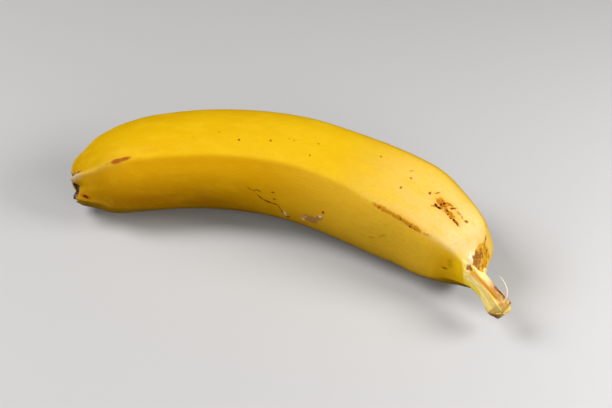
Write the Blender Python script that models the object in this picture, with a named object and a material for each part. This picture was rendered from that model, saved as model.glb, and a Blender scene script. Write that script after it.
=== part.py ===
"""A single ripe banana, lying on its side as picked from the bunch.

The fruit grew as one piece, so it is one solid: five-ribbed peel, blunt blossom end with a dry flower scar,
a bent and bruised neck, and a short fluted stem that flares where it was pulled off.
It is a UV sphere wrapped round a curved axis. Every point is found from how far along the axis it lies and
from its angle round the section. Metres, +Z up, blossom end towards -X, inner side of the curve towards -Y.
"""

import math

import bmesh
import bpy
import numpy as np

MM = 0.001

# Stations along the axis, from the blossom end to the end of the stem. Each row holds, in mm:
# x, y and height of the axis, then the section's heading in degrees from +X towards +Y,
# its half width in mm, how sharp its five ribs are (2 is a circle), and the ribs' turn in degrees.
STATIONS = [
    (-81.2, -16.4, 13.4, 45.0, 5.4, 4.0, -25.0),
    (-80.6, -15.8, 13.6, 45.0, 7.3, 4.0, -22.0),
    (-79.0, -14.8, 14.0, 45.0, 9.3, 4.2, -18.0),
    (-76.3, -13.0, 14.7, 43.5, 11.2, 4.3, -14.5),
    (-73.0, -11.0, 16.1, 39.0, 13.7, 4.4, -12.0),
    (-68.3, -8.1, 17.2, 33.5, 15.8, 4.5, -10.5),
    (-60.1, -2.8, 18.4, 29.0, 17.5, 4.5, -8.0),
    (-45.3, 5.3, 19.4, 22.5, 18.5, 4.5, -4.0),
    (-25.8, 12.4, 19.8, 13.0, 19.2, 4.5, -1.0),
    (-5.0, 15.8, 20.1, 2.0, 19.4, 4.8, 1.5),
    (17.4, 14.8, 20.0, -7.5, 19.3, 5.2, 6.4),
    (34.1, 12.4, 20.1, -13.0, 19.3, 5.8, 11.5),
    (46.8, 9.9, 19.2, -17.5, 18.2, 6.4, 10.5),
    (55.2, 5.8, 18.1, -23.0, 16.4, 6.6, 7.2),
    (61.6, 1.9, 17.8, -30.0, 14.4, 6.0, 3.0),
    (65.4, -1.7, 17.3, -38.0, 12.3, 5.0, -4.0),
    (67.9, -5.2, 16.7, -42.5, 8.0, 4.5, -11.0),
    (71.3, -8.4, 16.2, -44.0, 4.6, 4.0, -14.0),
    (76.0, -11.8, 15.6, -45.0, 3.4, 4.0, -15.0),
    (80.2, -15.0, 14.8, -46.5, 3.8, 4.5, -15.0),
    (83.0, -17.3, 14.2, -48.0, 4.6, 4.5, -15.0),
]

# The five ribs, in degrees round the section from the outer side of the curve over the top.
RIB_ANGLES = [-12.0, 60.0, 131.0, 199.0, 276.0]

# Each rib is raised as a low line along the peel, and as a thin crest where the fruit tapers to the blossom end.
RIB_LINE_HEIGHT = 0.25
CREST_HEIGHT = 0.5
CREST_LENGTH = 16.0
CREST_HALF_ANGLE = 7.0

# How far the fruit's lowest line reaches into the table's face, to give the flat it rests on.
REST_FLAT_DEPTH = 0.5

# The blossom end: five corky rib ends stand round a sunken black flower scar with a dry nub in it.
CROWN_POINT_HEIGHTS = [0.8, 0.5, 2.4, 2.3, 1.4]
CROWN_HALF_ANGLE = 24.0
CROWN_FLARE = 0.2
CROWN_PIT_DEPTH = 1.2
CROWN_NUB_HEIGHT = 1.2

# The neck is bent, and its peel has sunk in on the outer upper side.
NECK_DENT_FROM_STEM_END = 21.5
NECK_DENT_LENGTH = 3.0
NECK_DENT_ANGLE = 55.0
NECK_DENT_SPREAD = 38.0
NECK_DENT_DEPTH = 1.5

# The stem: shallow flutes along it, and a torn end that bulges.
STEM_LENGTH = 19.0
STEM_FLUTE_DEPTH = 0.5
STEM_END_BULGE = 1.5
STEM_END_ROUNDING = 0.09
STEM_END_ROUNDING_LENGTH = 2.4

# How finely the sphere is divided: segments for each rib's facet, and rings for each stretch.
SEGMENTS_PER_FACET = 9
RINGS_IN_TIP = 6
RINGS_ON_SIDE = 90
RINGS_IN_STEM_END = 4

PEEL_YELLOW = (0.86, 0.55, 0.035)
STEM_TAN = (0.62, 0.44, 0.14)
BLOSSOM_BLACK = (0.028, 0.018, 0.014)


def clear_scene():
    for obj in list(bpy.data.objects):
        bpy.data.objects.remove(obj, do_unlink=True)


def make_material(name, colour, roughness):
    material = bpy.data.materials.new(name)
    material.use_nodes = True
    shader = material.node_tree.nodes["Principled BSDF"]
    shader.inputs["Base Color"].default_value = (*colour, 1.0)
    shader.inputs["Roughness"].default_value = roughness
    shader.inputs["Metallic"].default_value = 0.0
    material.diffuse_color = (*colour, 1.0)
    return material


def station_distances():
    """How far along the axis each station lies, in mm."""
    centres = np.array([row[:3] for row in STATIONS])
    return np.concatenate([[0.0], np.cumsum(np.linalg.norm(np.diff(centres, axis=0), axis=1))])


def along_stations(distance):
    """The columns of STATIONS at these distances, on a smooth curve through every station."""
    place = station_distances()
    value = np.array(STATIONS)
    gap = np.diff(place)[:, None]
    rise = np.diff(value, axis=0) / gap
    slope = np.concatenate([rise[:1], (rise[:-1] * gap[1:] + rise[1:] * gap[:-1]) / (gap[:-1] + gap[1:]), rise[-1:]])
    left = np.clip(np.searchsorted(place, distance, "right") - 1, 0, len(gap) - 1)
    width = gap[left]
    t = (distance - place[left])[:, None] / width
    rows = (
        (2 * t**3 - 3 * t**2 + 1) * value[left]
        + (t**3 - 2 * t**2 + t) * width * slope[left]
        + (3 * t**2 - 2 * t**3) * value[left + 1]
        + (t**3 - t**2) * width * slope[left + 1]
    )
    return rows.T


def section_reach(angle, sharpness):
    """How far the ribbed section reaches at this angle, about 1: the blend of five flat facets.
    A higher sharpness gives flatter facets and crisper ribs."""
    ribs = np.radians(RIB_ANGLES)
    following = np.append(ribs[1:], ribs[0] + 2 * math.pi)
    total = np.zeros_like(angle)
    for start, end in zip(ribs, following):
        facing = np.cos(angle - (start + end) / 2)
        corner = math.cos((end - start) / 2) / math.cos(math.pi / 5)
        total += np.maximum(facing / corner, 0.0) ** sharpness
    return total ** (-1.0 / sharpness) / 1.05


def bump(value, width):
    """A smooth hump: 1 where the value is 0, fading over the width."""
    return np.exp(-((value / width) ** 2))


def turn_from(angle, other):
    """The turn from the other angle to this one, within half a circle either way."""
    return (angle - other + 180.0) % 360.0 - 180.0


def near_ribs(angle, spread, heights=(1.0, 1.0, 1.0, 1.0, 1.0)):
    """These heights on the five ribs, fading to 0 within the spread in degrees."""
    humps = [height * bump(turn_from(angle, rib), spread) for rib, height in zip(RIB_ANGLES, heights)]
    return np.max(humps, axis=0)


def fruit_surface(distance, angle, share):
    """Points in mm at these distances along the axis and at these angles round it, before the ribs' twist.
    The share is 1 on the peel and falls to 0 at the middle of the two end faces."""
    length = station_distances()[-1]
    x, y, height, heading, half_width, sharpness, twist = along_stations(distance)
    turned = angle + twist
    to_end = length - distance
    reach = half_width * section_reach(np.radians(angle), sharpness)
    crest = RIB_LINE_HEIGHT + CREST_HEIGHT * np.exp(-distance / CREST_LENGTH)
    reach += crest * near_ribs(angle, CREST_HALF_ANGLE)
    off_dent = turn_from(turned, NECK_DENT_ANGLE)
    sunk = bump(to_end - NECK_DENT_FROM_STEM_END, NECK_DENT_LENGTH) * bump(off_dent, NECK_DENT_SPREAD)
    reach -= NECK_DENT_DEPTH * sunk
    on_stem = np.clip((STEM_LENGTH - to_end) / 5.0, 0.0, 1.0)
    reach -= STEM_FLUTE_DEPTH * on_stem * (1.0 - near_ribs(angle, 24.0))
    reach *= 1.0 - STEM_END_ROUNDING * np.clip(1.0 - to_end / STEM_END_ROUNDING_LENGTH, 0.0, 1.0) ** 2
    reach *= share

    # The rim of each end runs on over the end's face, shifted along the axis: the blossom end is a
    # crown of rib ends round a pit, and the stem's end bulges.
    in_face = 1.0 - share
    at_blossom = distance <= 0.0
    at_stem_end = distance >= length
    crown = near_ribs(angle, CROWN_HALF_ANGLE, CROWN_POINT_HEIGHTS) * np.exp(-distance / 1.8) * bump(in_face, 0.3)
    reach += CROWN_FLARE * crown
    pit = CROWN_PIT_DEPTH * np.clip(in_face / 0.5, 0.0, 1.0) - CROWN_NUB_HEIGHT * bump(share, 0.3)
    shift = np.where(at_blossom, pit, 0.0) - crown + np.where(at_stem_end, STEM_END_BULGE * (1.0 - share**2), 0.0)

    heading = np.radians(heading)
    sideways = reach * np.cos(np.radians(turned))
    return np.stack(
        [
            x - sideways * np.sin(heading) + shift * np.cos(heading),
            y + sideways * np.cos(heading) + shift * np.sin(heading),
            height + reach * np.sin(np.radians(turned)),
        ],
        axis=-1,
    )


def facet_angle(segment):
    """The angle of a segment line. They are spaced so that one line runs along every rib."""
    facet = segment // SEGMENTS_PER_FACET
    share = (segment % SEGMENTS_PER_FACET) / SEGMENTS_PER_FACET
    ribs = np.array(RIB_ANGLES + [RIB_ANGLES[0] + 360.0])
    return ribs[facet] * (1 - share) + ribs[facet + 1] * share


def ring_places(ring):
    """Distance along the axis and share of the radius of each ring, counted from the blossom end."""
    side = np.clip((ring - RINGS_IN_TIP) / RINGS_ON_SIDE, 0.0, 1.0)
    # Rings lie closer where the outline turns faster: at the blossom end and round the neck.
    eased = side - 0.100 * np.sin(2 * math.pi * side) - 0.022 * np.sin(4 * math.pi * side)
    last = RINGS_IN_TIP + RINGS_ON_SIDE + RINGS_IN_STEM_END
    share = np.minimum(ring / RINGS_IN_TIP, (last - ring) / RINGS_IN_STEM_END)
    return eased * station_distances()[-1], np.clip(share, 0.0, 1.0)


def make_banana(collection):
    around = SEGMENTS_PER_FACET * len(RIB_ANGLES)
    rings = RINGS_IN_TIP + RINGS_ON_SIDE + RINGS_IN_STEM_END
    shape = bmesh.new()
    bmesh.ops.create_uvsphere(shape, u_segments=around, v_segments=rings, radius=1.0)
    unit = np.array([vertex.co[:] for vertex in shape.verts])
    # The sphere's top becomes the stem's end and its bottom the flower scar.
    ring = np.round((1.0 - np.arccos(np.clip(unit[:, 2], -1.0, 1.0)) / math.pi) * rings)
    longitude = np.arctan2(unit[:, 1], unit[:, 0]) / (2 * math.pi) * around
    segment = np.round(longitude).astype(int) % around
    distance, share = ring_places(ring)
    points = fruit_surface(distance, facet_angle(segment), share)

    # The frame's origin is under the middle of the fruit's box.
    middle = (points.min(axis=0) + points.max(axis=0)) / 2
    points[:, :2] -= middle[:2]
    points[:, 2] -= points[:, 2].min() + REST_FLAT_DEPTH
    for vertex, point in zip(shape.verts, points):
        vertex.co = point * MM
    bmesh.ops.recalc_face_normals(shape, faces=shape.faces)

    mesh = bpy.data.meshes.new("banana")
    shape.to_mesh(mesh)
    shape.free()
    mesh.materials.append(make_material("peel_yellow", PEEL_YELLOW, 0.42))
    mesh.materials.append(make_material("stem_tan", STEM_TAN, 0.6))
    mesh.materials.append(make_material("blossom_black", BLOSSOM_BLACK, 0.85))
    stem_start = station_distances()[-1] - STEM_LENGTH
    for face in mesh.polygons:
        corners = list(face.vertices)
        if distance[corners].mean() > stem_start:
            face.material_index = 1
        elif distance[corners].max() <= 0.0 and share[corners].mean() < 0.8:
            face.material_index = 2
    mesh.shade_smooth()
    banana = bpy.data.objects.new("banana", mesh)
    collection.objects.link(banana)
    return banana


def make_table_cutter(collection):
    """A block whose top is the table's face. It cuts the flat that the fruit rests on."""
    shape = bmesh.new()
    bmesh.ops.create_cube(shape, size=1.0)
    size = (0.3, 0.2, 0.02)
    bmesh.ops.scale(shape, vec=size, verts=shape.verts)
    bmesh.ops.translate(shape, vec=(0.0, 0.0, -size[2] / 2), verts=shape.verts)
    mesh = bpy.data.meshes.new("table_cutter")
    shape.to_mesh(mesh)
    shape.free()
    cutter = bpy.data.objects.new("table_cutter", mesh)
    cutter.hide_render = True
    cutter.display_type = "WIRE"
    collection.objects.link(cutter)
    return cutter


def main():
    clear_scene()
    parts = bpy.data.collections.new("banana")
    cutters = bpy.data.collections.new("cutters")
    bpy.context.scene.collection.children.link(parts)
    bpy.context.scene.collection.children.link(cutters)
    banana = make_banana(parts)
    rest_flat = banana.modifiers.new("rest_flat", "BOOLEAN")
    rest_flat.operation = "DIFFERENCE"
    rest_flat.solver = "EXACT"
    rest_flat.object = make_table_cutter(cutters)


main()
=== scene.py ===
import functools
import itertools
import math

import bpy
import numpy as np
from mathutils import Matrix, Vector


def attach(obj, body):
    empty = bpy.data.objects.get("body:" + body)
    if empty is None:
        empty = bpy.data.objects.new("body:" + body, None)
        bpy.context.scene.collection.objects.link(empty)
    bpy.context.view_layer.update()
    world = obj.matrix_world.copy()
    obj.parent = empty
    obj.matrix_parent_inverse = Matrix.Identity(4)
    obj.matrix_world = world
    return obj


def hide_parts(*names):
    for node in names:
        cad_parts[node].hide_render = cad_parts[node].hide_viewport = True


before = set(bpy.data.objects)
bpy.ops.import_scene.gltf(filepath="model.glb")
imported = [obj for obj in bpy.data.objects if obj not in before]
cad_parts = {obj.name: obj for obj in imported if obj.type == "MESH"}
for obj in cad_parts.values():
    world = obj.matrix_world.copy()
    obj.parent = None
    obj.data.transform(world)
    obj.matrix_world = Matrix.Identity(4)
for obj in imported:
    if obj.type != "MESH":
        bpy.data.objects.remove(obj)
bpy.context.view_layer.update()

mm = 0.001

# Stations along the fruit's axis, as in the CAD part. Each row holds the axis' x, y and height in mm, the
# section's heading in degrees, its half width in mm, how sharp its ribs are, and the ribs' turn in degrees.
stations = np.array([
    (-81.2, -16.4, 13.4, 45.0, 5.4, 4.0, -25.0),
    (-80.6, -15.8, 13.6, 45.0, 7.3, 4.0, -22.0),
    (-79.0, -14.8, 14.0, 45.0, 9.3, 4.2, -18.0),
    (-76.3, -13.0, 14.7, 43.5, 11.2, 4.3, -14.5),
    (-73.0, -11.0, 16.1, 39.0, 13.7, 4.4, -12.0),
    (-68.3, -8.1, 17.2, 33.5, 15.8, 4.5, -10.5),
    (-60.1, -2.8, 18.4, 29.0, 17.5, 4.5, -8.0),
    (-45.3, 5.3, 19.4, 22.5, 18.5, 4.5, -4.0),
    (-25.8, 12.4, 19.8, 13.0, 19.2, 4.5, -1.0),
    (-5.0, 15.8, 20.1, 2.0, 19.4, 4.8, 1.5),
    (17.4, 14.8, 20.0, -7.5, 19.3, 5.2, 6.4),
    (34.1, 12.4, 20.1, -13.0, 19.3, 5.8, 11.5),
    (46.8, 9.9, 19.2, -17.5, 18.2, 6.4, 10.5),
    (55.2, 5.8, 18.1, -23.0, 16.4, 6.6, 7.2),
    (61.6, 1.9, 17.8, -30.0, 14.4, 6.0, 3.0),
    (65.4, -1.7, 17.3, -38.0, 12.3, 5.0, -4.0),
    (67.9, -5.2, 16.7, -42.5, 8.0, 4.5, -11.0),
    (71.3, -8.4, 16.2, -44.0, 4.6, 4.0, -14.0),
    (76.0, -11.8, 15.6, -45.0, 3.4, 4.0, -15.0),
    (80.2, -15.0, 14.8, -46.5, 3.8, 4.5, -15.0),
    (83.0, -17.3, 14.2, -48.0, 4.6, 4.5, -15.0),
])
stationGaps = np.linalg.norm(np.diff(stations[:, :3], axis=0), axis=1)
stationPlaces = np.concatenate([[0.0], np.cumsum(stationGaps)])
fruitLength = stationPlaces[-1]
ribAngles = [-12.0, 60.0, 131.0, 199.0, 276.0]   # degrees round the section, from the outer side over the top
topRib, lowRib, lastRib = ribAngles[2:]
originShift = np.array([0.117, 6.546, 0.726])    # from the stations' frame to the CAD frame, in mm

# where the peel's top rib leaves the CAD part's: by how many degrees, at which place along the fruit,
# and over how many mm to each side
topRibWander = [(3.5, 30.0, 24.0), (-4.0, 110.0, 26.0), (2.5, 161.0, 6.0)]
topRibSpread = 28.0   # degrees to each side of the rib over which the peel moves with it

latticeSize = 32      # the noise repeats after so many cells


def alongStations(distance):
    # a smooth cubic curve through each column of the stations
    gap = stationGaps[:, None]
    rise = np.diff(stations, axis=0) / gap
    inner = (rise[:-1] * gap[1:] + rise[1:] * gap[:-1]) / (gap[:-1] + gap[1:])
    slope = np.concatenate([rise[:1], inner, rise[-1:]])
    left = np.clip(np.searchsorted(stationPlaces, distance, "right") - 1, 0, len(gap) - 1)
    width = gap[left]
    t = (distance - stationPlaces[left])[:, None] / width
    rows = ((2 * t**3 - 3 * t**2 + 1) * stations[left] + (t**3 - 2 * t**2 + t) * width * slope[left]
            + (3 * t**2 - 2 * t**3) * stations[left + 1] + (t**3 - t**2) * width * slope[left + 1])
    return rows.T


def sectionReach(angle, sharpness):
    # reach = (sum over facets of (max(0, cos(angle - middle)) / corner)^sharpness)^(-1 / sharpness)
    ribs = np.radians(ribAngles)
    following = np.append(ribs[1:], ribs[0] + 2 * math.pi)
    total = np.zeros_like(angle)
    for start, end in zip(ribs, following):
        corner = math.cos((end - start) / 2) / math.cos(math.pi / 5)
        total += np.maximum(np.cos(angle - (start + end) / 2) / corner, 0.0) ** sharpness
    return total ** (-1.0 / sharpness) / 1.05


def hump(value, width):
    return np.exp(-((value / width) ** 2))


def turnFrom(angle, other):
    return (angle - other + 180.0) % 360.0 - 180.0


def nearRibs(angle, spread, heights=(1.0, 1.0, 1.0, 1.0, 1.0)):
    # a rounded ridge along each rib
    ridges = [height * hump(turnFrom(angle, rib), spread) for rib, height in zip(ribAngles, heights)]
    return np.max(ridges, axis=0)


def crest(angle, spread, heights):
    # a sharp edge along each rib
    edges = [height * np.exp(-np.abs(turnFrom(angle, rib)) / spread) for rib, height in zip(ribAngles, heights)]
    return np.max(edges, axis=0)


def topRibShift(distance):
    return sum(turn * hump(distance - place, spread) for turn, place, spread in topRibWander)


def smoothStep(value, start, full):
    # 0 at the start and 1 where full; full may also be the lower of the two
    t = np.clip((value - start) / (full - start), 0.0, 1.0)
    return t * t * (3.0 - 2.0 * t)


@functools.cache
def noiseTable(seed):
    return np.random.default_rng(seed).uniform(-1.0, 1.0, (latticeSize, latticeSize, latticeSize))


def cellNoise(points, seed):
    # smooth noise from -1 to 1: random values on a lattice, blended between the corners of each cell
    base = np.floor(points).astype(int)
    part = points - base
    part = part * part * (3.0 - 2.0 * part)
    total = np.zeros(points.shape[:-1])
    for corner in itertools.product((0, 1), repeat=3):
        weight = np.prod(np.where(corner, part, 1.0 - part), axis=-1)
        index = (base + corner) % latticeSize
        total += weight * noiseTable(seed)[index[..., 0], index[..., 1], index[..., 2]]
    return total


# The body, as in the CAD part. All that follows is in mm, and in degrees round the fruit.
body = {
    "ridge": 0.25, "ridgeSpread": 7.0,            # a low ridge along each rib
    "tipRidge": 0.5, "tipRidgeFade": 16.0,        # which is higher at the blossom end
    "bendDepth": 1.5, "bendToEnd": 21.5, "bendLength": 3.0, "bendAngle": 55.0, "bendSpread": 38.0,
    "fluteDepth": 0.5, "fluteToEnd": 19.0, "fluteFade": 5.0, "fluteSpread": 24.0,
}

# the peel's low relief
peelRelief = {
    "swell": 0.10, "swellSize": 7.0, "ripple": 0.03, "rippleSize": 2.4,
    "edgeHeights": (0.12, 0.12, 0.30, 0.12, 0.12), "edgeSpread": 5.0,   # the crisp edge on each rib
    "streakHeight": 0.12, "streakFade": 7.0,                            # shallow streaks at the blossom end
    "colourSpread": 6.0, "colourShares": (0.3, 0.4, 1.0, 0.2, 0.3),     # how much each rib's colour differs
}

# small swells and hollows: height, angle and its spread, place and its spread
touches = [
    (0.45, 57.0, 8.0, 157.3, 7.0),      # the second rib stands out before the neck
    (0.8, 225.0, 40.0, 11.0, 7.0),      # fuller underneath, behind the blossom end
    (-0.9, 15.0, 36.0, 160.0, 7.0),     # flatter on the shoulder's outer side
    (-0.9, 45.0, 30.0, 167.6, 2.6),     # drawn in where the stem starts
]

# those that fade away from the blossom end: height, angle and its spread, fade
tipTouches = [
    (-0.35, 121.0, 5.0, 5.0),           # the groove above the top rib
    (-0.8, 112.0, 11.0, 1.4),           # a notch in the rim
    (-0.8, 82.0, 32.0, 3.0),            # lower on the side that faces up
]

neck = {
    "edgeAngles": [0, 30, 60, 90, 112, 127, 145, 165, 190, 220, 260, 300, 340],   # where the shoulder ends
    "edgePlaces": [164.3, 165.6, 167.1, 167.6, 166.0, 163.5, 165.6,
                   166.7, 167.8, 168.6, 168.3, 166.8, 165.3],
    "sunkAngles": [-20, 10, 22, 47, 71, 90, 115],                     # the sunken patch, its near edge
    "sunkStarts": [162.3, 161.0, 160.6, 160.3, 160.8, 161.8, 164.8],
    "sunkEnds": [163.8, 164.8, 165.6, 166.8, 168.4, 167.6, 165.6],    # and its far edge
    "sunkDepth": 0.7, "sunkWrinkle": 0.38,
    "tearPlace": 162.1, "tearAngle": 82.5, "tearSlant": 7.5,          # the torn edge, slant in degrees a mm
    # the hollow: painted shade, darkest beside the torn edge
    "hollow": (161.6, 163.6), "hollowSpread": 34.0,                   # the darkest part, beside the torn edge
    "pithStart": 162.2, "pithEnd": 165.7, "pithWidth": 20.0, "pithHeight": 0.45,
    "pitPlace": 166.3, "pitLength": 1.15, "pitAngle": 128.5, "pitWidth": 19.0, "pitDepth": 1.0,
    "rimBack": 1.3, "rimLength": 1.5, "rimAngle": 160.0, "rimSpread": 34.0,
    "collarPlace": 165.8, "collarLength": 3.0, "collarHeight": 0.35,
}

stem = {
    "furrowPlace": 170.8, "furrowAngle": 122.5, "furrowSlant": -1.5, "furrowSpread": 14.0, "furrowDepth": 0.6,
    "furrowStart": (166.2, 168.2), "furrowEnd": (181.8, 179.3),
    "darkPlace": 174.8, "darkAngle": 66.0, "darkSlant": 1.2, "darkSpread": 14.0, "darkStart": (173.3, 175.8),
    "darkTurnDown": 22.0, "darkTurn": (180.6, 182.4),                 # it turns down round the stem's end
    "upperStart": (169.0, 176.0), "greenAngle": 200.0, "greenSpread": 30.0, "greenEnd": (180.0, 172.0),
    "fibreHeight": 0.16, "fineFibreShare": 0.4,
    "lumpHeight": 0.28, "lumpStart": (177.3, 182.3),
    "bulge": 1.5, "faceLumps": 0.45, "rounding": 0.09, "roundingLength": 2.4,
}

tip = {
    "crownHeights": (0.8, 0.5, 2.4, 3.2, 1.4),   # how far each rib's end stands out round the flower scar
    "crownSpread": 24.0, "crownFade": 1.8,
    "corkShares": (0.6, 0.6, 1.0, 0.2, 0.6), "corkSpread": 15.0, "corkFade": 2.2,
    "pitDepth": 1.2, "pitLumps": 0.35, "nubHeight": 1.2,
}


def shoulderEdge(angle):
    return np.interp(angle, neck["edgeAngles"], neck["edgePlaces"], period=360.0)


def neckMasks(distance, angle, straight):
    # each mask is a region in place and angle, whose edges are pushed about by smooth noise
    place = distance + 0.45 * cellNoise(straight / 1.3, 11)
    around = turnFrom(angle, 0.0) + 5.0 * cellNoise(straight / 1.3, 12)
    pastEdge = distance - shoulderEdge(angle)
    masks = {"stemShare": smoothStep(pastEdge, -0.35, 0.35)}
    masks["rimShare"] = hump(pastEdge + neck["rimBack"], neck["rimLength"])
    masks["rimShare"] *= hump(turnFrom(angle, neck["rimAngle"]), neck["rimSpread"])

    pastTear = around - neck["tearAngle"] - neck["tearSlant"] * (place - neck["tearPlace"])
    starts = np.interp(around, neck["sunkAngles"], neck["sunkStarts"])
    ends = np.interp(around, neck["sunkAngles"], neck["sunkEnds"])
    inside = smoothStep(place - starts, -0.4, 0.5) * smoothStep(ends - place, -0.5, 0.4)
    masks["sunkenShare"] = inside * smoothStep(pastTear, 2.0, -4.0) * smoothStep(around, -14.0, 8.0)
    # painted shade in the hollow beside the torn edge
    hollow = hump(np.minimum(pastTear, 0.0), neck["hollowSpread"]) * smoothStep(place, *neck["hollow"])
    masks["hollowShadeShare"] = masks["sunkenShare"] * hollow

    raggedWidth = neck["pithWidth"] * (0.75 + 0.45 * cellNoise(straight / 0.9, 14) + 0.1 * (place - 163.8))
    strip = smoothStep(pastTear, 0.0, 3.0) * smoothStep(raggedWidth - pastTear, 0.0, 5.0)
    strip *= smoothStep(place - neck["pithStart"], -0.4, 0.6)
    masks["pithShare"] = strip * smoothStep(neck["pithEnd"] - place, -0.4, 0.6)
    fromPit = np.hypot((place - neck["pitPlace"]) / neck["pitLength"],
                       turnFrom(around, neck["pitAngle"]) / neck["pitWidth"])
    masks["pitShare"] = smoothStep(fromPit, 1.0, 0.1)

    furrow = stem["furrowAngle"] + stem["furrowSlant"] * (distance - stem["furrowPlace"])
    furrow += 4.0 * cellNoise(straight / 4.0, 13)
    alongFurrow = smoothStep(distance, *stem["furrowStart"]) * smoothStep(distance, *stem["furrowEnd"])
    masks["furrowShare"] = hump(turnFrom(angle, furrow), stem["furrowSpread"]) * alongFurrow
    dark = stem["darkAngle"] + stem["darkSlant"] * (distance - stem["darkPlace"])
    dark -= stem["darkTurnDown"] * smoothStep(distance, *stem["darkTurn"])
    masks["darkEdgeShare"] = hump(turnFrom(around, dark), stem["darkSpread"])
    masks["darkEdgeShare"] *= smoothStep(distance, *stem["darkStart"])
    masks["upperShare"] = smoothStep(around, 20.0, 60.0) * smoothStep(around, 132.0, 122.0)
    masks["upperShare"] *= smoothStep(distance, *stem["upperStart"])
    masks["greenEdgeShare"] = hump(turnFrom(angle, stem["greenAngle"]), stem["greenSpread"])
    masks["greenEdgeShare"] *= smoothStep(distance, *stem["greenEnd"])
    return masks


def peelMasks(distance, angle, ribTurn):
    softer = 1.0 + 1.2 * smoothStep(distance, 132.0, 155.0)   # the top rib is rounder towards the neck
    fromLastRib = turnFrom(angle, lastRib)
    # the front side below the top rib, whose colour step paints shade
    front = smoothStep(turnFrom(ribTurn, topRib) / softer, -2.5, 4.5) * smoothStep(fromLastRib, 30.0, -30.0)
    return {
        "ribShare": nearRibs(ribTurn, peelRelief["colourSpread"], peelRelief["colourShares"]),
        "frontShare": front,
        # the low facet, lighter near the blossom end as painted light
        "litLowShare": smoothStep(turnFrom(angle, lowRib), -4.0, 5.0) * smoothStep(fromLastRib, 10.0, -30.0),
        "farShare": smoothStep(np.abs(turnFrom(angle, 100.0)), 15.0, 60.0) * (1.0 - front),
    }


def endMasks(distance, angle, share, straight):
    # the dried flower scar with its ragged edge, the corky rib ends, and the browned rim of the stem's torn end
    inFace = 1.0 - share
    driedBack = 0.6 * hump(turnFrom(angle, 176.0), 30.0) + 0.9 * hump(turnFrom(angle, 110.0), 13.0)
    dried = smoothStep(driedBack + 0.25 * cellNoise(straight / 0.8, 10) - distance, -0.1, 0.3)
    dried *= smoothStep(driedBack, 0.1, 0.4)
    scar = np.where(distance <= 0.0, smoothStep(inFace, 0.03, 0.25), 0.0)
    cork = nearRibs(angle, tip["corkSpread"], tip["corkShares"]) * np.exp(-distance / tip["corkFade"])
    lowRim = hump(turnFrom(angle, 215.0), 60.0) * smoothStep(distance, fruitLength - 0.8, fruitLength)
    tornFace = np.where(distance >= fruitLength, 0.2 * smoothStep(inFace, 0.3, 0.7), 0.0)
    return {
        "scarShare": np.maximum(scar, dried),
        "corkShare": hump(inFace, 0.35) * cork,
        "cutShare": np.maximum(lowRim, tornFace),
    }


def bodyReach(distance, angle, turned, ribTurn, halfWidth, sharpness):
    # half width * section, plus the ribs' ridges, less the neck's bend and the flutes between the stem's ribs
    toEnd = fruitLength - distance
    ridge = body["ridge"] + body["tipRidge"] * np.exp(-distance / body["tipRidgeFade"])
    bend = hump(toEnd - body["bendToEnd"], body["bendLength"])
    bend *= hump(turnFrom(turned, body["bendAngle"]), body["bendSpread"])
    onStem = np.clip((body["fluteToEnd"] - toEnd) / body["fluteFade"], 0.0, 1.0)
    flutes = onStem * (1.0 - nearRibs(angle, body["fluteSpread"]))
    reach = halfWidth * sectionReach(np.radians(ribTurn), sharpness)
    reach += ridge * nearRibs(ribTurn, body["ridgeSpread"])
    return reach - body["bendDepth"] * bend - body["fluteDepth"] * flutes


def surfaceRelief(distance, angle, turned, ribTurn, straight, masks):
    # what is added to the reach: first the peel's relief, then the neck's, then the stem's
    onPeel = 1.0 - masks["stemShare"]
    relief = peelRelief["swell"] * cellNoise(straight / peelRelief["swellSize"], 1)
    relief += peelRelief["ripple"] * cellNoise(straight / peelRelief["rippleSize"], 2)
    edges = crest(ribTurn, peelRelief["edgeSpread"], peelRelief["edgeHeights"])
    relief += edges * smoothStep(distance, 3.0, 12.0) * (1.0 - 0.7 * smoothStep(distance, 135.0, 152.0))
    relief += neck["collarHeight"] * hump(distance - neck["collarPlace"], neck["collarLength"])
    relief *= onPeel
    for height, middle, spread, place, length in touches:
        relief += height * hump(turnFrom(angle, middle), spread) * hump(distance - place, length)
    for height, middle, spread, fade in tipTouches:
        relief += height * hump(turnFrom(angle, middle), spread) * np.exp(-distance / fade)
    streaks = np.stack([distance / 8.0, turned / 9.0 % latticeSize, 0 * turned], axis=-1)
    relief += peelRelief["streakHeight"] * np.exp(-distance / peelRelief["streakFade"]) * cellNoise(streaks, 3)

    wrinkles = np.abs(cellNoise(straight / np.array([1.1, 1.6, 1.6]), 4))
    relief -= masks["sunkenShare"] * (neck["sunkDepth"] - neck["sunkWrinkle"] * wrinkles)
    relief += neck["pithHeight"] * masks["pithShare"] * (0.7 + 0.6 * wrinkles)
    relief -= neck["pitDepth"] * masks["pitShare"]

    fibres = cellNoise(straight / np.array([9.0, 0.75, 0.75]), 5)
    fibres += stem["fineFibreShare"] * cellNoise(straight / np.array([4.0, 0.35, 0.35]), 6)
    relief += masks["stemShare"] * stem["fibreHeight"] * fibres
    relief -= stem["furrowDepth"] * masks["furrowShare"]
    lumps = cellNoise(straight / np.array([1.8, 1.4, 1.4]), 7)
    return relief + stem["lumpHeight"] * smoothStep(distance, *stem["lumpStart"]) * lumps


def onStraightAxis(distance, angle, reach):
    turn = np.radians(angle)
    return np.stack([distance, reach * np.cos(turn), reach * np.sin(turn)], axis=-1)


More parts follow.
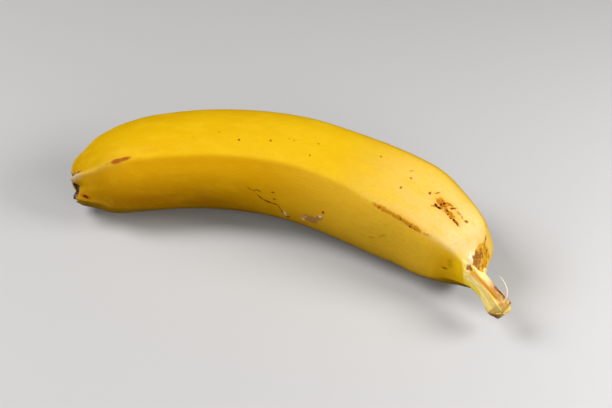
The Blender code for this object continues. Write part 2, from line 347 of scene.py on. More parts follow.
def fruitSurface(distance, angle, share):
    # point = axis + reach * (cos(turned) sideways + sin(turned) upwards) + shift along the axis. The share is 1
    # on the side and falls to 0 at the middle of an end face. Returns the points in mm, the same points on a
    # straightened axis, and the masks that the material reads
    x, y, z, heading, halfWidth, sharpness, twist = alongStations(distance)
    turned = angle + twist
    ribShift = topRibShift(distance)
    ribTurn = angle - ribShift * hump(turnFrom(angle, topRib + ribShift), topRibSpread)
    reach = bodyReach(distance, angle, turned, ribTurn, halfWidth, sharpness)
    straight = onStraightAxis(distance, angle, reach)
    masks = {**peelMasks(distance, angle, ribTurn), **neckMasks(distance, angle, straight)}
    masks["darkEdgeShare"] *= smoothStep(share, 0.7, 1.0)
    reach += surfaceRelief(distance, angle, turned, ribTurn, straight, masks)
    rounded = np.clip(1.0 - (fruitLength - distance) / stem["roundingLength"], 0.0, 1.0) ** 2
    reach *= share * (1.0 - stem["rounding"] * rounded)

    inFace = 1.0 - share
    crown = nearRibs(angle, tip["crownSpread"], tip["crownHeights"]) * hump(inFace, 0.3)
    crown *= np.exp(-distance / tip["crownFade"])
    reach += 0.2 * crown
    pit = tip["pitDepth"] * np.clip(inFace / 0.5, 0.0, 1.0) - tip["nubHeight"] * hump(share, 0.3)
    pit += tip["pitLumps"] * cellNoise(straight / 1.1, 8) * smoothStep(inFace, 0.1, 0.3)
    bulge = stem["bulge"] * (1.0 - share**2) + stem["faceLumps"] * cellNoise(straight / 1.6, 9) * inFace
    shift = np.where(distance <= 0.0, pit, 0.0) + np.where(distance >= fruitLength, bulge, 0.0) - crown
    straight = onStraightAxis(distance + shift, angle, reach)
    masks.update(endMasks(distance, angle, share, straight))

    heading = np.radians(heading)
    sideways = reach * np.cos(np.radians(turned))
    points = np.stack([
        x - sideways * np.sin(heading) + shift * np.cos(heading),
        y + sideways * np.cos(heading) + shift * np.sin(heading),
        z + reach * np.sin(np.radians(turned)),
    ], axis=-1) - originShift
    points[:, 2] = np.maximum(points[:, 2], 0.0)   # the flat that it rests on
    return points, straight, masks


def ringPlaces():
    # rings lie closer at the blossom end, round the neck and along the stem; then each end face closes in
    fine = np.linspace(0.0, fruitLength, 4000)
    ringsPerMm = 1.9 + 3.5 * np.exp(-fine / 4.0) + 2.6 * smoothStep(fine, 155.0, 161.0)
    count = np.concatenate([[0.0], np.cumsum((ringsPerMm[1:] + ringsPerMm[:-1]) / 2 * np.diff(fine))])
    side = np.interp(np.linspace(0.0, count[-1], int(count[-1]) + 1), count, fine)
    side[-1] = fruitLength
    closing = np.linspace(0.0, 1.0, 15)[1:-1]
    distance = np.concatenate([np.zeros(len(closing)), side, np.full(len(closing), fruitLength)])
    share = np.concatenate([closing, np.ones(len(side)), closing[::-1]])
    return distance, share


def aroundAngles(perFacet):
    ribs = ribAngles + [ribAngles[0] + 360.0]
    facets = [np.linspace(start, end, perFacet, endpoint=False) for start, end in zip(ribs, ribs[1:])]
    return np.concatenate(facets)


def makePeel(perFacet=32):
    ringDistance, ringShare = ringPlaces()
    angles = aroundAngles(perFacet)
    rings, around = len(ringDistance), len(angles)
    distance = np.concatenate([np.repeat(ringDistance, around), [0.0, fruitLength]])
    share = np.concatenate([np.repeat(ringShare, around), [0.0, 0.0]])
    angle = np.concatenate([np.tile(angles, rings), [0.0, 0.0]])
    # one column of points follows the top rib
    angle += topRibShift(distance) * hump(turnFrom(angle, topRib), topRibSpread)
    points, straight, masks = fruitSurface(distance, angle, share)

    grid = np.arange(rings * around).reshape(rings, around)
    here, beside = grid[:-1], np.roll(grid[:-1], -1, axis=1)
    ahead, aheadBeside = grid[1:], np.roll(grid[1:], -1, axis=1)
    quads = np.stack([here, beside, aheadBeside, ahead], axis=-1).reshape(-1, 4)
    first, last = grid[0], grid[-1]
    blossomFan = np.stack([np.full(around, rings * around), np.roll(first, -1), first], axis=-1)
    stemFan = np.stack([np.full(around, rings * around + 1), last, np.roll(last, -1)], axis=-1)
    mesh = bpy.data.meshes.new("peel")
    mesh.from_pydata((points * mm).tolist(), [], quads.tolist() + blossomFan.tolist() + stemFan.tolist())
    mesh.update()
    addAttribute(mesh, "straight", straight)
    for name, values in masks.items():
        addAttribute(mesh, name, values)
    unrollPeel(mesh, ringDistance, ringShare, perFacet)
    mesh.shade_smooth()
    made = bpy.data.objects.new("peel", mesh)
    bpy.context.scene.collection.objects.link(made)
    return made


def unrollPeel(mesh, ringDistance, ringShare, perFacet):
    # along the fruit in u, round it in v, with the seam on the first rib
    columns = np.append(aroundAngles(perFacet), ribAngles[0] + 360.0)
    rings, around = len(ringDistance), len(columns) - 1
    margin = 0.04   # for each end face
    faceShift = np.where(ringDistance <= 0, -margin, margin) * (1.0 - ringShare)
    u = margin + (1.0 - 2 * margin) * ringDistance / fruitLength + faceShift
    v = (columns - ribAngles[0]) / 360.0
    cornerU = np.stack([u[:-1], u[:-1], u[1:], u[1:]], axis=-1)
    cornerU = np.repeat(cornerU[:, None, :], around, axis=1).reshape(-1)
    cornerV = np.stack([v[:-1], v[1:], v[1:], v[:-1]], axis=-1)
    cornerV = np.repeat(cornerV[None, :, :], rings - 1, axis=0).reshape(-1)
    fanU = np.concatenate([np.tile([0.0, u[0], u[0]], around), np.tile([1.0, u[-1], u[-1]], around)])
    middle = (v[:-1] + v[1:]) / 2
    blossomV = np.stack([middle, v[1:], v[:-1]], axis=-1).reshape(-1)
    stemV = np.stack([middle, v[:-1], v[1:]], axis=-1).reshape(-1)
    corners = np.stack([np.concatenate([cornerU, fanU]), np.concatenate([cornerV, blossomV, stemV])], axis=-1)
    layer = mesh.uv_layers.new(name="unrolled")
    layer.uv.foreach_set("vector", corners.astype(np.float32).reshape(-1))


def addAttribute(mesh, name, values):
    kind, field = ("FLOAT_VECTOR", "vector") if values.ndim == 2 else ("FLOAT", "value")
    made = mesh.attributes.new(name, kind, "POINT")
    made.data.foreach_set(field, values.astype(np.float32).reshape(-1))


# Node helpers. A value is either a number, a tuple or another node's output.
def put(tree, kind, values, **settings):
    made = tree.nodes.new(kind)
    for key, value in settings.items():
        setattr(made, key, value)
    for key, value in values.items():
        if isinstance(value, bpy.types.NodeSocket):
            tree.links.new(value, made.inputs[key])
        else:
            made.inputs[key].default_value = value
    return made


def calc(tree, operation, first, second):
    return put(tree, "ShaderNodeMath", {0: first, 1: second}, operation=operation).outputs[0]


def times(tree, first, second):
    return calc(tree, "MULTIPLY", first, second)


def largest(tree, first, second):
    return calc(tree, "MAXIMUM", first, second)


def between(tree, value, start, full, least=0.0, most=1.0):
    # least at the start, rising or falling smoothly to most
    values = {"Value": value, "From Min": start, "From Max": full, "To Min": least, "To Max": most}
    return put(tree, "ShaderNodeMapRange", values, interpolation_type="SMOOTHSTEP").outputs["Result"]


def cover(tree, under, over, share):
    # lays one colour over another, by a share from 0 to 1
    made = put(tree, "ShaderNodeMix", {}, data_type="RGBA")
    for index, value in ((0, share), (6, under), (7, over)):
        if isinstance(value, bpy.types.NodeSocket):
            tree.links.new(value, made.inputs[index])
        else:
            made.inputs[index].default_value = value if index == 0 else (*value, 1.0)
    return made.outputs[2]


def lay(tree, under, over, value, start, full, most=1.0):
    # lays one colour over another where a value passes from the start to full, and covers it by most there
    return cover(tree, under, over, between(tree, value, start, full, 0.0, most))


def noise(tree, vector, scale, detail, roughness=0.5):
    values = {"Vector": vector, "Scale": scale, "Detail": detail, "Roughness": roughness}
    return put(tree, "ShaderNodeTexNoise", values).outputs


def moved(tree, vector, shift, amount):
    values = {0: shift, 1: (amount, amount, amount), 2: vector}
    return put(tree, "ShaderNodeVectorMath", values, operation="MULTIPLY_ADD").outputs[0]


def stretched(tree, vector, along, across):
    values = {0: vector, 1: (along, across, across)}
    return put(tree, "ShaderNodeVectorMath", values, operation="MULTIPLY").outputs[0]


def attribute(tree, name):
    made = tree.nodes.new("ShaderNodeAttribute")
    made.attribute_name = name
    return made.outputs


def mask(tree, name):
    return attribute(tree, name)["Fac"]


def placeOnStraight(distance, angle):
    return fruitSurface(np.array([distance]), np.array([angle]), np.array([1.0]))[1][0]


def stroke(tree, surface, start, end, halfWidth, leastDepth=2.5):
    # 1 in the middle of a stroke from one place on the peel to another, falling to 0 at its edge
    first, last = Vector(placeOnStraight(*start)), Vector(placeOnStraight(*end))
    middle = (first + last) / 2
    outward = Vector((0.0, middle.y, middle.z)).normalized()
    along = last - first if (last - first).length > 0.01 else Vector((1.0, 0.0, 0.0))
    along = (along - along.dot(outward) * outward).normalized()
    turn = Matrix((along, outward, along.cross(outward))).transposed().to_euler("XYZ")
    halfLength = 0.6 * (last - first).length + halfWidth
    values = {"Vector": surface, "Location": middle, "Rotation": turn,
              "Scale": (halfLength, max(leastDepth, halfLength / 2), halfWidth)}
    local = put(tree, "ShaderNodeMapping", values, vector_type="TEXTURE").outputs[0]
    return put(tree, "ShaderNodeTexGradient", {"Vector": local}, gradient_type="SPHERICAL").outputs["Fac"]


def strokes(tree, surface, rows):
    # the strongest of several strokes; a row with one place and angle is a spot
    total = None
    for row in rows:
        start, end, halfWidth, strength = row[:2], row[-4:-2], row[-2], row[-1]
        made = times(tree, stroke(tree, surface, start, end, halfWidth), strength)
        total = made if total is None else largest(tree, total, made)
    return total


# Marks on the peel. Each row is a stroke: mm along the fruit and degrees round it at the start, the same at
# the end, half the width in mm, and the strength. A spot has its place and angle once.
marks = {
    "freckles": [
        (55.4, 103.5, 0.75, 0.5), (63.5, 112.5, 0.75, 0.9), (75.7, 108.0, 0.75, 0.8), (82.2, 100.5, 0.6, 0.45),
        (84.3, 100.5, 0.6, 0.5), (93.4, 95.0, 0.65, 0.65), (92.4, 113.0, 0.8, 0.55), (116.6, 78.0, 0.7, 0.6),
        (129.6, 101.0, 0.8, 0.7), (130.6, 85.5, 0.8, 0.6), (128.3, 79.5, 129.9, 76.0, 0.4, 0.55),
        (139.2, 89.0, 0.8, 1), (154.6, 84.0, 154.9, 82.0, 0.8, 0.75), (157.5, 54.0, 0.7, 0.8),
        (159.7, 53.0, 160.1, 53.0, 0.8, 1), (103.8, 168.0, 0.9, 0.85), (139.5, 155.0, 0.8, 0.3),
        (8.0, 135.0, 0.8, 0.3), (60.7, 20.0, 0.7, 0.8), (88.7, 40.0, 0.6, 0.7), (109.7, 5.0, 0.7, 0.8),
        (122.7, 30.0, 123.7, 30.0, 0.5, 0.7), (38.7, 340.0, 0.7, 0.8), (97.7, 240.0, 0.7, 0.7),
    ],
    "dark": [
        (143.0, 95.3, 144.3, 96.3, 0.6, 1), (144.3, 96.3, 145.7, 95.2, 0.5, 1),
        (144.7, 90.8, 144.9, 90.6, 0.65, 1), (145.2, 87.0, 145.5, 86.6, 0.65, 1),
        (146.0, 90.2, 146.3, 89.6, 0.5, 0.7),
        (146.8, 90.8, 148.9, 91.2, 0.5, 0.8), (148.9, 95.2, 149.0, 95.2, 0.5, 0.7),
        (150.0, 96.0, 150.1, 96.0, 0.5, 0.75), (150.7, 96.2, 150.9, 96.2, 0.5, 0.85),
        (151.3, 95.6, 152.5, 96.0, 0.5, 0.95), (152.5, 96.0, 154.4, 97.0, 0.5, 0.85),
        (148.2, 86.4, 149.1, 81.0, 0.42, 0.8), (126.1, 129.6, 127.1, 130.0, 0.6, 0.55),
        (135.8, 132.0, 136.1, 132.2, 0.7, 0.6), (140.5, 134.2, 140.9, 134.2, 0.7, 0.7),
        (142.9, 134.0, 143.0, 134.0, 0.6, 0.55), (1.5, 187.5, 2.4, 190.0, 0.7, 1),
        (87.6, 193.5, 88.3, 192.4, 0.6, 0.8), (1.6, 123.5, 2.0, 122.0, 0.6, 1),
    ],
    "scratches": [
        (68.9, 165.0, 71.3, 168.0, 0.4, 0.6), (71.3, 168.0, 73.4, 168.0, 0.4, 0.6),
        (72.6, 165.0, 75.7, 168.8, 0.42, 0.7), (73.6, 172.5, 76.7, 177.8, 0.48, 0.85),
        (76.7, 177.8, 80.7, 180.0, 0.55, 1), (80.7, 180.0, 83.3, 180.5, 0.5, 0.8),
        (83.3, 180.5, 84.7, 185.5, 0.42, 0.8), (84.7, 185.5, 85.7, 190.0, 0.42, 0.8),
        (80.1, 165.8, 81.3, 165.8, 0.5, 0.85), (81.1, 174.0, 81.9, 173.6, 0.5, 0.8),
        (160.1, 172.0, 161.9, 173.0, 0.6, 0.7),
    ],
    "bruise": [
        (143.1, 88.0, 146.7, 91.0, 2.3, 0.9), (145.7, 84.0, 147.7, 82.5, 1, 0.8),
        (147.5, 92.0, 151.3, 92.5, 1.3, 0.75), (151.1, 95.4, 154.6, 97.0, 0.9, 0.8),
        (149.9, 83.2, 152.0, 83.2, 0.9, 0.55), (152.0, 83.0, 153.5, 84.4, 0.6, 0.5),
        (140.5, 85.5, 141.6, 80.2, 0.6, 0.65), (142.6, 99.5, 143.9, 98.0, 0.9, 0.6),
        (147.9, 86.6, 149.4, 80.0, 0.8, 0.7), (146.7, 93.0, 149.7, 95.0, 0.9, 0.75),
    ],
    "halo": [
        (141.5, 88.0, 147.5, 90.0, 4.5, 1), (147.5, 90.0, 154.0, 94.0, 3.6, 1),
        (124.3, 129.5, 148.0, 132.0, 2.6, 0.9),
    ],
    "amber": [
        (124.3, 129.0, 131.7, 130.5, 1.3, 0.85), (129.7, 130.7, 138.7, 132.2, 1.25, 0.85),
        (136.7, 132.4, 146.2, 132.3, 1.25, 0.9), (145.7, 132.4, 150.7, 131.4, 0.9, 0.5),
        (86.6, 194.5, 89.1, 193.0, 1, 0.7),
    ],
    "rust": [
        (14.0, 132.0, 18.2, 132.2, 1.35, 1), (17.2, 132.0, 21.3, 131.6, 1.1, 1),
        (10.2, 132.0, 14.3, 132.0, 0.5, 0.35), (1.1, 187.0, 2.9, 191.0, 1.1, 1),
        (1.1, 122.5, 2.3, 121.5, 0.8, 1),
    ],
    "olive": [
        (120.3, 170.5, 123.9, 172.0, 0.6, 0.5), (123.9, 172.0, 128.0, 167.5, 0.6, 0.8),
        (128.0, 167.5, 131.7, 157.0, 0.6, 0.8), (161.0, 151.0, 161.9, 154.0, 1.5, 0.8),
        (161.5, 158.0, 162.5, 162.0, 1.6, 0.8), (46.0, 112.0, 1.6, 0.4), (93.7, 192.5, 96.7, 194.0, 0.9, 0.7),
        (158.7, 168.0, 161.1, 172.0, 1.3, 0.45),
    ],
    "mauve": [
        (95.6, 184.0, 100.2, 184.5, 2.6, 1), (99.1, 184.0, 103.2, 175.5, 1.5, 1),
        (101.0, 181.0, 103.0, 179.0, 1.0, 0.8),
    ],
    "white": [
        (85.9, 187.0, 87.1, 192.0, 0.75, 1), (94.5, 187.0, 95.1, 189.5, 0.8, 0.9),
        (102.1, 175.6, 102.9, 174.8, 0.75, 1), (95.7, 183.6, 96.7, 184.2, 0.5, 0.6),
    ],
}

# where the peel's colours change, in mm from the blossom end: where each change starts and where it is full
zones = {
    "bright": (30.0, 90.0), "clouds": (120.0, 60.0), "paleNeckAndSheen": (98.0, 166.0), "palestAndSheen": (148.0, 160.0),
    "litFrontNeck": (70.0, 135.0), "underside": (90.0, 50.0), "litLowSide": (90.0, 30.0), "oliveNeckShade": (148.0, 162.0),
    "tipFront": (14.0, 0.0), "tipGold": (16.0, 0.0), "corkyRib": (26.0, 6.0), "strongRib": (40.0, 4.0),
    "stemTip": (176.0, 182.0),
}

peelFinish = {
    "golden": (0.80, 0.46, 0.001),       # base colours, linear
    "bright": (0.84, 0.505, 0.006),
    "deeper": (0.76, 0.40, 0.001),
    "lighter": (0.88, 0.545, 0.012),
    # painted shade: the sides turned away from the top
    "farSideShade": (0.78, 0.43, 0.001),
    # paler towards the neck: partly the peel's own colour, partly painted sheen
    "paleNeckAndSheen": (0.85, 0.59, 0.19),
    "palestAndSheen": (0.88, 0.64, 0.25),
    # deep gold: the front side's painted shade, and random mottling elsewhere
    "deepGold": (0.74, 0.36, 0.001),
    # lighter towards the neck on the front side: painted light
    "litFrontNeck": (1.0, 0.572, 0.032),
    # browner underneath: partly the peel's own colour, partly painted shade; also the colour of the dark
    # threads
    "underside": (0.43, 0.18, 0.001),
    # painted light: the low facet near the blossom end
    "litLowSide": (0.86, 0.43, 0.002),
    # olive towards the neck: partly the peel's own colour, partly painted shade
    "oliveNeckShade": (0.75, 0.395, 0.004),
    "shoulderRim": (0.88, 0.58, 0.002),
    "tipGold": (0.62, 0.325, 0.001),
    "tipFront": (0.52, 0.25, 0.001),
    "corky": (0.84, 0.54, 0.08),
    "freckle": (0.24, 0.07, 0.001),
    "black": (0.06, 0.008, 0.001),
    "scratch": (0.20, 0.045, 0.002),
    "amber": (0.62, 0.235, 0.001),
    "bruise": (0.50, 0.155, 0.004),
    "halo": (0.86, 0.47, 0.06),
    "rust": (0.42, 0.11, 0.001),
    "olive": (0.50, 0.25, 0.001),
    "mauve": (0.42, 0.19, 0.075),
    "flakeWhite": (0.80, 0.66, 0.60),
    "roughness": 0.48,
    "gloss": 0.07,
    "bump": 0.35,
    "bumpDepth": 0.15,                   # mm
}

stemFinish = {
    "cream": (1.0, 0.73, 0.17),
    "pale": (1.0, 0.86, 0.46),
    "tan": (0.90, 0.50, 0.06),
    "golden": (1.0, 0.72, 0.15),
    "green": (0.80, 0.58, 0.012),
    "brown": (0.46, 0.18, 0.025),
    "redBrown": (0.20, 0.03, 0.008),
    "amber": (0.74, 0.36, 0.010),
    "sunken": (0.28, 0.08, 0.001),
    "upper": (0.46, 0.17, 0.02),
    "pith": (0.98, 0.80, 0.54),
    "pithShade": (0.90, 0.62, 0.30),
}

tipFinish = {
    "cork": (0.62, 0.47, 0.30),
    "scar": (0.035, 0.018, 0.014),
    "scarDust": (0.16, 0.12, 0.11),
}


def peelPatterns(tree):
    # what the colours read: places on the straightened fruit, copies of them with uneven edges, and noises
    straight = attribute(tree, "straight")["Vector"]
    place = put(tree, "ShaderNodeSeparateXYZ", {0: straight}).outputs
    centred = {0: noise(tree, straight, 1.1, 3.0, 0.6)["Color"], 1: (0.5, 0.5, 0.5)}
    wobble = put(tree, "ShaderNodeVectorMath", centred, operation="SUBTRACT").outputs[0]
    return {
        "along": place[0],                             # mm from the blossom end
        "rise": place[2],                              # mm above the fruit's own axis
        "ragged": moved(tree, straight, wobble, 1.1),
        "uneven": moved(tree, straight, wobble, 0.4),
        "broad": noise(tree, straight, 0.06, 2.0)["Fac"],
        "medium": noise(tree, stretched(tree, straight, 0.12, 0.3), 1.0, 3.0)["Fac"],
        "fibre": noise(tree, stretched(tree, straight, 0.25, 2.2), 1.0, 3.0, 0.6)["Fac"],
        "stemFibre": noise(tree, stretched(tree, straight, 0.16, 1.5), 1.0, 4.0, 0.65)["Fac"],
        "grain": noise(tree, straight, 2.6, 2.0)["Fac"],
        "blotch": noise(tree, straight, 0.8, 4.0, 0.7)["Fac"],
        "crumple": noise(tree, straight, 0.55, 3.0, 0.6)["Fac"],
        "fleck": noise(tree, straight, 1.6, 3.0, 0.6)["Fac"],
    }


def frontColour(tree, on):
    # the front side: deep gold, its step from the top's colour along the top rib painted shade, and lighter
    # towards the neck as painted light; browner underneath, partly painted shade; lighter on the low facet near
    # the blossom end as painted light; olive towards the neck, partly painted shade
    finish, along = peelFinish, on["along"]
    colour = lay(tree, finish["deepGold"], finish["litFrontNeck"], along, *zones["litFrontNeck"])
    # painted shade: browner underneath, most towards the blossom end, partly the peel's own colour
    below = between(tree, on["rise"], 10.0, -4.0)
    shade = times(tree, below, between(tree, along, *zones["underside"], 0.2, 1.0))
    colour = cover(tree, colour, finish["underside"], shade)
    # painted light: the low facet near the blossom end is lighter
    low = times(tree, mask(tree, "litLowShare"), between(tree, along, *zones["litLowSide"]))
    colour = cover(tree, colour, finish["litLowSide"], low)
    threads = between(tree, on["fibre"], 0.4, 0.7, 0.0, 0.15)
    threads = times(tree, threads, between(tree, on["medium"], 0.3, 0.6, 0.5))
    colour = cover(tree, colour, finish["underside"], threads)
    nearTip = times(tree, between(tree, along, *zones["tipFront"], 0.0, 0.9), calc(tree, "SUBTRACT", 1.0, low))
    colour = cover(tree, colour, finish["tipFront"], nearTip)
    # olive low down towards the neck: partly the peel's own colour, partly painted shade
    olive = times(tree, between(tree, along, *zones["oliveNeckShade"]), between(tree, on["rise"], 12.0, 5.0, 0.5))
    return cover(tree, colour, finish["oliveNeckShade"], olive)


def ripeColour(tree, on):
    # golden on top and pale towards the neck, the pale partly painted sheen; deeper gold as painted shade on
    # the sides turned away from the top; the front has its own colour with painted shade, and the ribs' ends
    # are corky
    finish, along = peelFinish, on["along"]
    front, far = mask(tree, "frontShare"), mask(tree, "farShare")
    colour = lay(tree, finish["golden"], finish["bright"], along, *zones["bright"])
    clouds = between(tree, on["broad"], 0.45, 0.7, 0.0, 0.45)
    clouds = times(tree, clouds, between(tree, along, *zones["clouds"], 0.25))
    colour = cover(tree, colour, finish["deeper"], clouds)
    # painted shade: deeper gold on the sides turned away from the top
    colour = cover(tree, colour, finish["farSideShade"], times(tree, far, 0.7))
    # the painted sheen near the neck is kept off the sides turned away from the top
    nearSide = between(tree, far, 0.0, 0.9, 1.0, 0.25)
    for name in ("paleNeckAndSheen", "palestAndSheen"):
        colour = cover(tree, colour, finish[name], times(tree, between(tree, along, *zones[name]), nearSide))
    # the front side's colour, with painted shade below the top rib
    colour = cover(tree, colour, frontColour(tree, on), front)
    nearTip = times(tree, between(tree, along, *zones["tipGold"], 0.0, 0.8), calc(tree, "SUBTRACT", 1.0, front))
    colour = cover(tree, colour, finish["tipGold"], nearTip)
    calmer = between(tree, front, 0.0, 1.0, 1.0, 0.35)   # the front is less mottled
    lighter = times(tree, between(tree, on["medium"], 0.45, 0.7, 0.0, 0.42), calmer)
    colour = cover(tree, colour, finish["lighter"], lighter)
    deeper = times(tree, between(tree, on["fibre"], 0.5, 0.75, 0.0, 0.4), calmer)
    colour = cover(tree, colour, finish["deeper"], deeper)
    colour = lay(tree, colour, finish["deepGold"], on["blotch"], 0.5, 0.72, 0.22)
    rib = times(tree, mask(tree, "ribShare"), between(tree, along, *zones["strongRib"], 0.06, 0.45))
    return cover(tree, colour, finish["corky"], times(tree, rib, between(tree, along, *zones["corkyRib"])))


def withMarks(tree, on, colour):
    # scrapes and bruises first, then thin scratches, freckles with a brown ring, dark flecks and white flakes
    drawn = {name: strokes(tree, on["ragged"], marks[name])
             for name in ("halo", "amber", "bruise", "mauve", "freckles", "dark", "white")}
    drawn.update({name: strokes(tree, on["uneven"], marks[name]) for name in ("olive", "rust", "scratches")})
    patchy = between(tree, on["blotch"], 0.36, 0.56, 0.5, 1.3)
    drawn["amber"] = times(tree, drawn["amber"], patchy)
    drawn["bruise"] = times(tree, drawn["bruise"], patchy)
    drawn["mauve"] = times(tree, drawn["mauve"], between(tree, on["blotch"], 0.35, 0.6, 0.45, 1.2))
    drawn["ring"] = largest(tree, drawn["freckles"], drawn["dark"])
    # the mark, its colour, where the stroke starts to show and where it is full, and how much it covers
    layers = [
        ("olive", "olive", 0.1, 0.7, 0.6),
        ("halo", "halo", 0.0, 0.8, 0.8),
        ("amber", "amber", 0.10, 0.5, 0.9),
        ("bruise", "bruise", 0.10, 0.55, 0.95),
        ("rust", "rust", 0.02, 0.6, 1.0),
        ("mauve", "mauve", 0.12, 0.5, 0.85),
        ("scratches", "scratch", 0.05, 0.6, 0.95),
        ("ring", "bruise", 0.08, 0.45, 0.7),
        ("freckles", "freckle", 0.2, 0.7, 0.95),
        ("dark", "black", 0.25, 0.65, 1.0),
        ("white", "flakeWhite", 0.2, 0.6, 1.0),
    ]
    for name, paint, start, full, most in layers:
        colour = lay(tree, colour, peelFinish[paint], drawn[name], start, full, most)
    return colour, largest(tree, drawn["ring"], drawn["scratches"])


def stemColour(tree, on):
    # cream and tan fibres, green along the lower edge, browned along the upper edge and at the end
    finish, fibre = stemFinish, on["stemFibre"]
    colour = lay(tree, finish["cream"], finish["pale"], fibre, 0.45, 0.62)
    colour = lay(tree, colour, finish["tan"], fibre, 0.46, 0.32, 0.6)
    upper = mask(tree, "upperShare")
    browned = times(tree, upper, between(tree, fibre, 0.35, 0.65, 1.0, 0.6))
    colour = cover(tree, colour, finish["upper"], browned)
    colour = lay(tree, colour, finish["green"], mask(tree, "greenEdgeShare"), 0.25, 0.8, 0.85)
    atEnd = between(tree, on["along"], *zones["stemTip"])
    atEnd = times(tree, atEnd, between(tree, on["grain"], 0.35, 0.6, 0.4))
    atEnd = times(tree, atEnd, between(tree, upper, 0.0, 0.8, 0.75, 0.2))
    colour = cover(tree, colour, finish["golden"], atEnd)
    # painted shade along the furrow's groove: amber, browner in its middle
    furrow = mask(tree, "furrowShare")
    colour = lay(tree, colour, finish["amber"], furrow, 0.03, 0.4, 0.65)
    colour = lay(tree, colour, finish["brown"], furrow, 0.25, 1.0, 0.75)
    darkEdge = times(tree, mask(tree, "darkEdgeShare"), between(tree, fibre, 0.35, 0.55, 1.2, 0.6))
    colour = lay(tree, colour, finish["redBrown"], darkEdge, 0.2, 0.75, 0.95)
    cut = times(tree, mask(tree, "cutShare"), between(tree, fibre, 0.4, 0.6, 1.2, 0.7))
    return lay(tree, colour, finish["brown"], cut, 0.0, 0.9, 0.8)


def withNeck(tree, on, colour):
    # the sunken brown patch with its hollow, darkest beside the torn edge as painted shade, the pit, and the
    # torn pith
    finish = stemFinish
    sunken = lay(tree, finish["amber"], finish["sunken"], on["crumple"], 0.45, 0.68)
    sunken = lay(tree, sunken, finish["pale"], on["fleck"], 0.60, 0.70, 0.8)
    # painted shade: the hollow beside the torn edge is darker
    hollow = between(tree, mask(tree, "hollowShadeShare"), 0.08, 0.5, 0.0, 0.95)
    hollow = times(tree, hollow, between(tree, on["fleck"], 0.45, 0.62, 1.0, 0.6))
    sunken = cover(tree, sunken, finish["sunken"], hollow)
    colour = lay(tree, colour, sunken, mask(tree, "sunkenShare"), 0.1, 0.75, 0.95)
    colour = lay(tree, colour, finish["sunken"], mask(tree, "pitShare"), 0.05, 0.55, 0.92)
    pith = lay(tree, finish["pith"], finish["pithShade"], on["crumple"], 0.45, 0.65, 0.8)
    return lay(tree, colour, pith, mask(tree, "pithShare"), 0.15, 0.6)


def withBlossomEnd(tree, on, colour):
    colour = lay(tree, colour, tipFinish["cork"], mask(tree, "corkShare"), 0.15, 0.7, 0.85)
    scar = lay(tree, tipFinish["scar"], tipFinish["scarDust"], on["crumple"], 0.5, 0.7)
    return lay(tree, colour, scar, mask(tree, "scarShare"), 0.1, 0.5)


def makePeelMaterial():
    material = bpy.data.materials.new("bananaPeel")
    material.use_nodes = True
    tree = material.node_tree
    shader = tree.nodes["Principled BSDF"]
    on = peelPatterns(tree)
    colour, sunkMarks = withMarks(tree, on, ripeColour(tree, on))
    colour = cover(tree, colour, peelFinish["shoulderRim"], times(tree, mask(tree, "rimShare"), 0.7))
    colour = cover(tree, colour, stemColour(tree, on), mask(tree, "stemShare"))
    colour = withBlossomEnd(tree, on, withNeck(tree, on, colour))
    tree.links.new(colour, shader.inputs["Base Color"])
    shader.inputs["Roughness"].default_value = peelFinish["roughness"]
    shader.inputs["Specular IOR Level"].default_value = peelFinish["gloss"]

    height = calc(tree, "ADD", times(tree, on["grain"], 0.4), times(tree, on["fibre"], 0.6))
    height = calc(tree, "SUBTRACT", height, times(tree, sunkMarks, 1.5))
    values = {"Strength": peelFinish["bump"], "Distance": peelFinish["bumpDepth"] * mm, "Height": height}
    bump = put(tree, "ShaderNodeBump", values)
    tree.links.new(bump.outputs["Normal"], shader.inputs["Normal"])
    return material


def plainMaterial(name, colour, roughness):
    material = bpy.data.materials.new(name)
    material.use_nodes = True
    shader = material.node_tree.nodes["Principled BSDF"]
    shader.inputs["Base Color"].default_value = (*colour, 1.0)
    shader.inputs["Roughness"].default_value = roughness
    return material


# a dry fibre that stands up from the stem's torn end: a tapered tube along a curve through four points
strand = {
    "points": [(83.2, -22.6, 16.4), (85.0, -21.8, 19.8), (82.8, -19.5, 22.6), (79.6, -17.9, 23.2)],   # mm
    "baseRadius": 0.34, "endRadius": 0.12, "headLength": 0.15,
    "colour": (0.93, 0.80, 0.62), "roughness": 0.6,
}


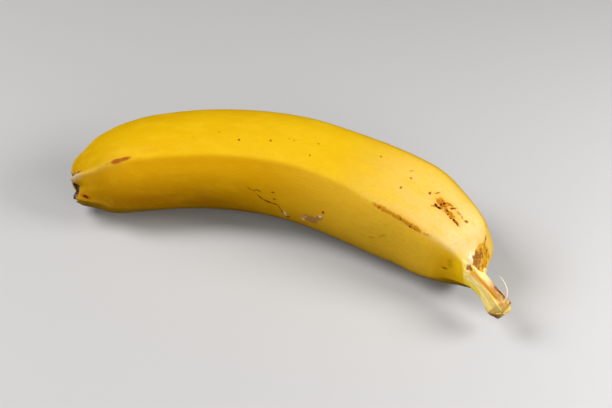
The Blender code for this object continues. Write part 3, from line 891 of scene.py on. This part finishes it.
def makeStrand(steps=28, around=10):
    # centre = cubic Bezier curve of the points; each ring lies square to it, and both ends close in a point
    t = np.linspace(0.0, 1.0, steps)[:, None]
    p = np.array(strand["points"])
    centre = (1 - t)**3 * p[0] + 3 * (1 - t)**2 * t * p[1] + 3 * (1 - t) * t**2 * p[2] + t**3 * p[3]
    along = np.gradient(centre, axis=0)
    along /= np.linalg.norm(along, axis=1, keepdims=True)
    side = np.cross(along, (1.0, 1.0, 0.0))
    side /= np.linalg.norm(side, axis=1, keepdims=True)
    other = np.cross(along, side)
    radius = strand["baseRadius"] + (strand["endRadius"] - strand["baseRadius"]) * t[:, None]
    turn = np.linspace(0.0, 2 * math.pi, around, endpoint=False)[:, None]
    rings = centre[:, None] + radius * (np.cos(turn) * side[:, None] + np.sin(turn) * other[:, None])
    grid = np.arange(steps * around).reshape(steps, around)
    here, ahead = grid[:-1], grid[1:]
    quads = np.stack([here, np.roll(here, -1, axis=1), np.roll(ahead, -1, axis=1), ahead], axis=-1)
    tail, head = steps * around, steps * around + 1
    tailFan = np.stack([np.full(around, tail), np.roll(grid[0], -1), grid[0]], axis=-1)
    headFan = np.stack([np.full(around, head), grid[-1], np.roll(grid[-1], -1)], axis=-1)
    ends = [centre[:1], centre[-1:] + strand["headLength"] * along[-1:]]
    points = np.concatenate([rings.reshape(-1, 3), *ends])
    faces = quads.reshape(-1, 4).tolist() + tailFan.tolist() + headFan.tolist()
    mesh = bpy.data.meshes.new("strand")
    mesh.from_pydata((points * mm).tolist(), [], faces)
    mesh.materials.append(plainMaterial("dryFibre", strand["colour"], strand["roughness"]))
    mesh.shade_smooth()
    made = bpy.data.objects.new("strand", mesh)
    bpy.context.scene.collection.objects.link(made)
    return made


# plain soft studio: a broad light high on the left, weaker ones low in front and on the right, and a little
# light from the room
studio = {
    "floorColour": (0.60, 0.59, 0.58),
    "floorRoughness": 0.8,
    "floorHalfSize": 6.0,
    "roomColour": (0.95, 0.97, 1.0),
    "roomStrength": 0.04,
    "lightsAim": (0.0, 0.0, 0.02),
    "lights": {   # places and sizes in metres, power in watts
        "mainLight": {"place": (-0.346, -0.138, 0.496), "size": 0.35, "power": 2.5},
        "leftLight": {"place": (-0.265, -0.348, 0.24), "size": 0.30, "power": 0.42},
        "frontLight": {"place": (0.348, -0.265, 0.24), "size": 0.30, "power": 0.63},
        "sideLight": {"place": (0.338, 0.05, 0.23), "size": 0.20, "power": 1.2},
    },
}


def makeFloor():
    half = studio["floorHalfSize"]
    corners = [(-half, -half, 0.0), (half, -half, 0.0), (half, half, 0.0), (-half, half, 0.0)]
    mesh = bpy.data.meshes.new("floor")
    mesh.from_pydata(corners, [], [(0, 1, 2, 3)])
    mesh.materials.append(plainMaterial("paleFloor", studio["floorColour"], studio["floorRoughness"]))
    floor = bpy.data.objects.new("floor", mesh)
    floor.visible_diffuse = False   # the floor throws no light up on the fruit's underside
    floor.visible_glossy = False
    bpy.context.scene.collection.objects.link(floor)


def makeLight(name, place, size, power):
    lamp = bpy.data.lights.new(name, "AREA")
    lamp.shape = "DISK"
    lamp.size = size
    lamp.energy = power
    light = bpy.data.objects.new(name, lamp)
    light.location = place
    light.rotation_euler = (Vector(studio["lightsAim"]) - Vector(place)).to_track_quat("-Z", "Y").to_euler()
    bpy.context.scene.collection.objects.link(light)


def makeStudio():
    makeFloor()
    for name, light in studio["lights"].items():
        makeLight(name, **light)
    world = bpy.data.worlds.new("studio")
    world.use_nodes = True
    background = world.node_tree.nodes["Background"]
    background.inputs["Color"].default_value = (*studio["roomColour"], 1.0)
    background.inputs["Strength"].default_value = studio["roomStrength"]
    bpy.context.scene.world = world
    bpy.context.scene.view_settings.view_transform = "Standard"


# the photo's view: the camera's direction in degrees, its lens and sensor in mm, the picture's width in pixels,
# how many of them a mm on the fruit takes, and the point in mm that the camera looks at
photoView = {
    "azimuth": 21.73, "elevation": 45.0, "lens": 85.0, "sensor": 36.0,
    "imageWidth": 612, "pixelsPerMm": 2.625, "target": (-3.2, 11.86, -0.25),
}


def makeCamera():
    azimuth, elevation = math.radians(photoView["azimuth"]), math.radians(photoView["elevation"])
    widthInMm = photoView["imageWidth"] / photoView["pixelsPerMm"]
    distance = photoView["lens"] / photoView["sensor"] * widthInMm * mm
    forward = Vector((-math.sin(azimuth) * math.cos(elevation), math.cos(azimuth) * math.cos(elevation),
                      -math.sin(elevation)))
    data = bpy.data.cameras.new("photoCamera")
    data.lens = photoView["lens"]
    data.sensor_width = photoView["sensor"]
    data.clip_start = 0.01
    camera = bpy.data.objects.new("photoCamera", data)
    camera.location = Vector(photoView["target"]) * mm - forward * distance
    camera.rotation_euler = forward.to_track_quat("-Z", "Y").to_euler()
    bpy.context.scene.collection.objects.link(camera)
    bpy.context.scene.camera = camera


makeStudio()
makeCamera()
print("studio and camera made")

peel = makePeel()
peel.data.materials.append(makePeelMaterial())
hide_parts("banana")
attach(peel, "root")
print("peel made,", len(peel.data.polygons), "faces")

fibre = makeStrand()
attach(fibre, "root")
print("strand made,", len(fibre.data.polygons), "faces")
